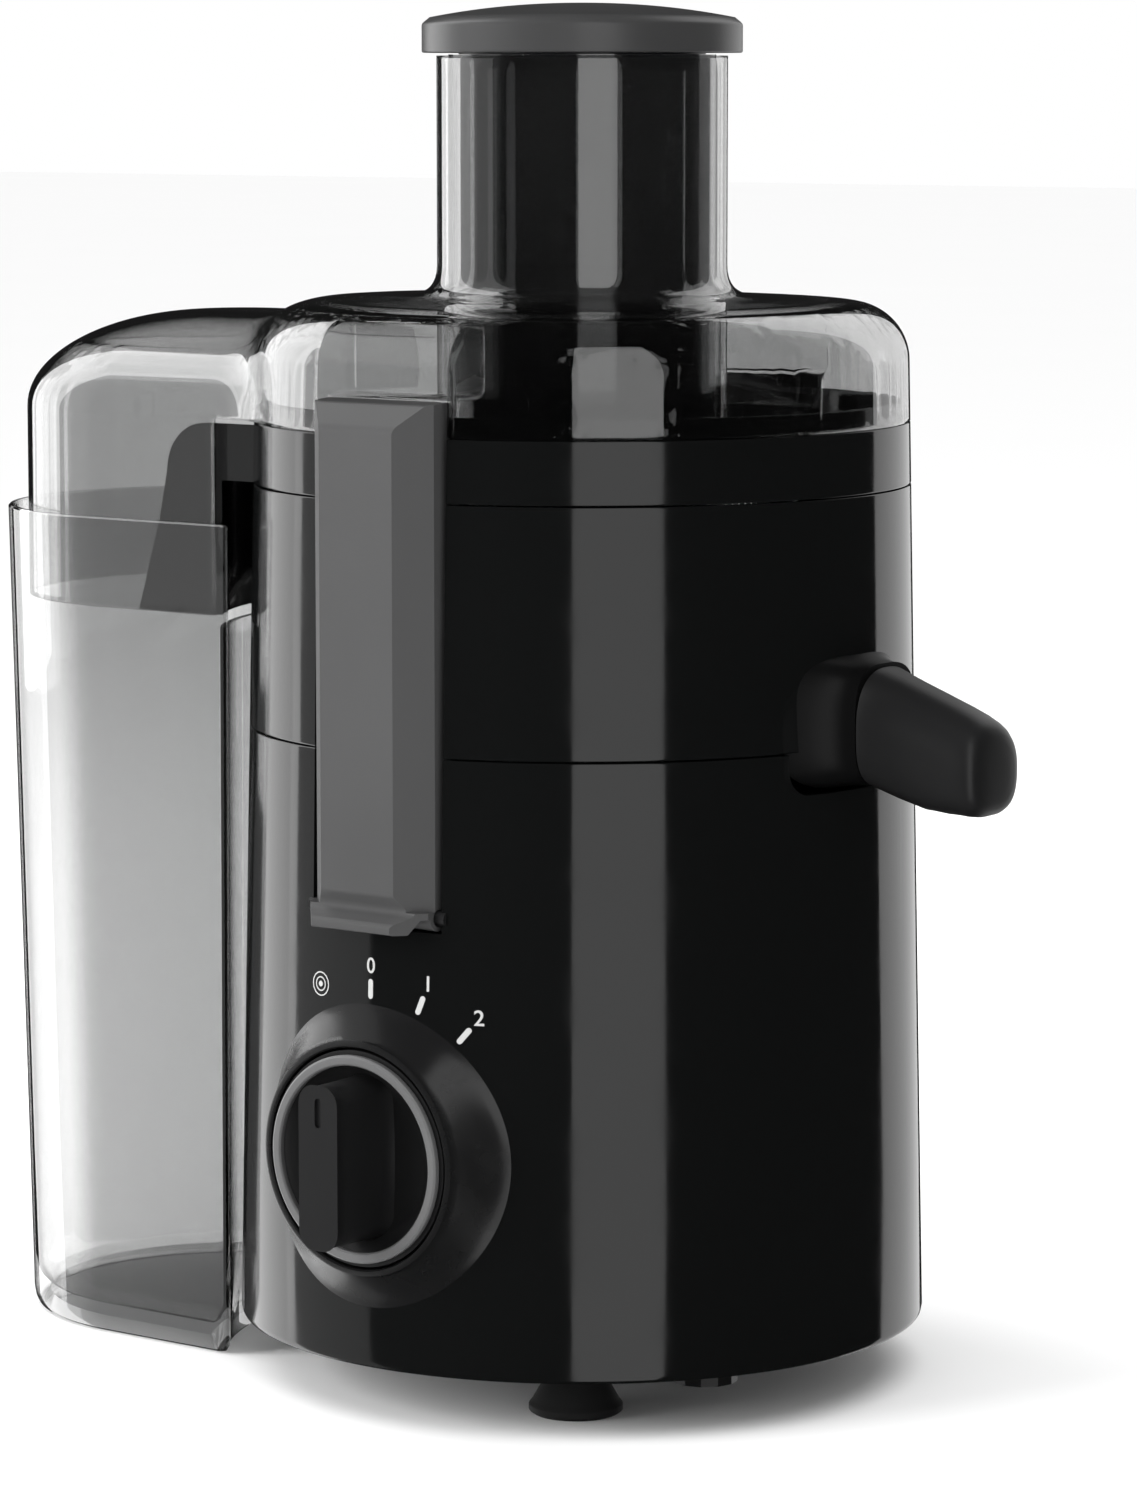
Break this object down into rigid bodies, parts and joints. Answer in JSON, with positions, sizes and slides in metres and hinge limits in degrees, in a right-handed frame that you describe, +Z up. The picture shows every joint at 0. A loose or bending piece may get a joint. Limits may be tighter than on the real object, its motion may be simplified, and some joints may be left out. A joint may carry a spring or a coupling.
{
  "type": "centrifugal juicer",
  "caption": "Upright centrifugal juicer: round motor base with a dial, pouring spout, clear lid with feed tube and pusher, locking clamps and a clear pulp container beside the drum.",
  "frame": {"origin": "centre of the object's outline on the surface that it stands on", "axes": "+Z up, the dial faces -Y, the spout points to +X and the pulp container is at -X"},
  "size_m": [0.335, 0.2264, 0.3852],
  "materials": {
    "gloss_black": "high gloss",
    "satin_black": "satin",
    "clamp_grey": "satin",
    "cap_grey": "satin",
    "ring_grey": "satin",
    "clear": "clear, faint smoke tint",
    "rubber": "matt",
    "steel": "plain",
    "mesh_steel": "etched mesh",
    "iron": "varnished laminations",
    "copper": "enamelled copper",
    "nylon": "natural",
    "carbon": "matt carbon"
  },
  "bodies": {
    "base": {"motor_housing": "gloss_black", "base_plate": "satin_black", "foot_1": "rubber", "foot_2": "rubber", "foot_3": "rubber", "base_screw_1": "steel", "base_screw_2": "steel", "base_screw_3": "steel", "front_clamp_pin": "steel", "rear_clamp_pin": "steel", "dial_bezel": "gloss_black", "speed_switch": "satin_black", "interlock_switch": "satin_black", "cord_gland": "rubber", "stator_core": "iron", "field_coil_1": "copper", "field_coil_2": "copper", "lower_bracket": "nylon", "upper_bracket": "nylon", "upper_bearing": "steel", "lower_bearing": "steel", "brush_holder_1": "nylon", "brush_holder_2": "nylon", "carbon_brush_1": "carbon", "carbon_brush_2": "carbon", "rubber_mount_1": "rubber", "rubber_mount_2": "rubber", "rubber_mount_3": "rubber", "rubber_mount_4": "rubber", "mount_screw_1": "steel", "mount_screw_2": "steel", "mount_screw_3": "steel", "mount_screw_4": "steel"},
    "rotor": {"motor_shaft": "steel", "armature_core": "iron", "commutator": "copper", "cooling_fan": "nylon", "drive_coupling": "satin_black"},
    "bowl": {"juice_collector": "gloss_black", "shaft_seal": "rubber"},
    "spout": {"pouring_spout": "satin_black"},
    "ring": {"pulp_ring": "gloss_black"},
    "sieve": {"sieve_hub": "satin_black", "filter_basket": "mesh_steel", "grater_disc": "steel"},
    "cover": {"lid": "clear", "pulp_hood": "clear", "feed_tube": "clear"},
    "pusher": {"pusher_body": "satin_black", "pusher_cap": "cap_grey"},
    "front_latch": {"front_clamp": "clamp_grey"},
    "rear_latch": {"rear_clamp": "clamp_grey"},
    "interlock": {"interlock_plunger": "nylon"},
    "dial": {"knob": "satin_black", "knob_ring": "ring_grey", "dial_shaft": "steel"},
    "container": {"pulp_container": "clear"}
  },
  "joints": [
    {"name": "rotor_spin", "type": "hinge", "parent": "base", "child": "rotor", "pos_m": [0.02801, 0.00428, 0.1], "axis": [0, 0, 1], "continuous": true},
    {"name": "bowl_lift", "type": "slide", "parent": "base", "child": "bowl", "axis": [0, 0, 1], "range_m": [0, 0.05]},
    {"name": "spout_turn", "type": "hinge", "parent": "bowl", "child": "spout", "pos_m": [0.13151, 0.00428, 0.1885], "axis": [1, 0, 0], "range_deg": [0, 180]},
    {"name": "ring_lift", "type": "slide", "parent": "bowl", "child": "ring", "axis": [0, 0, 1], "range_m": [0, 0.05]},
    {"name": "sieve_spin", "type": "hinge", "parent": "ring", "child": "sieve", "pos_m": [0.02801, 0.00428, 0.22], "axis": [0, 0, 1], "continuous": true},
    {"name": "lid_lift", "type": "slide", "parent": "ring", "child": "cover", "axis": [0, 0, 1], "range_m": [0, 0.08]},
    {"name": "pusher_slide", "type": "slide", "parent": "cover", "child": "pusher", "axis": [0, 0, 1], "range_m": [0, 0.135]},
    {"name": "front_clamp_hinge", "type": "hinge", "parent": "base", "child": "front_latch", "pos_m": [0.02801, -0.08672, 0.141], "axis": [1, 0, 0], "range_deg": [0, 40]},
    {"name": "rear_clamp_hinge", "type": "hinge", "parent": "base", "child": "rear_latch", "pos_m": [0.02801, 0.09528, 0.141], "axis": [-1, 0, 0], "range_deg": [0, 40]},
    {"name": "interlock_slide", "type": "slide", "parent": "base", "child": "interlock", "axis": [0, -1, 0], "range_m": [0, 0.003]},
    {"name": "dial_turn", "type": "hinge", "parent": "base", "child": "dial", "pos_m": [0.02801, -0.09072, 0.0745], "axis": [0, 1, 0], "range_deg": [-22, 40]},
    {"name": "container_slide", "type": "slide", "parent": "base", "child": "container", "axis": [-1, 0, 0], "range_m": [0, 0.12]}
  ],
  "couplings": [
    {"joint": "sieve_spin", "follows": "rotor_spin", "ratio": 1},
    {"joint": "interlock_slide", "follows": "front_clamp_hinge", "m_per_rad": 0.004154}
  ]
}
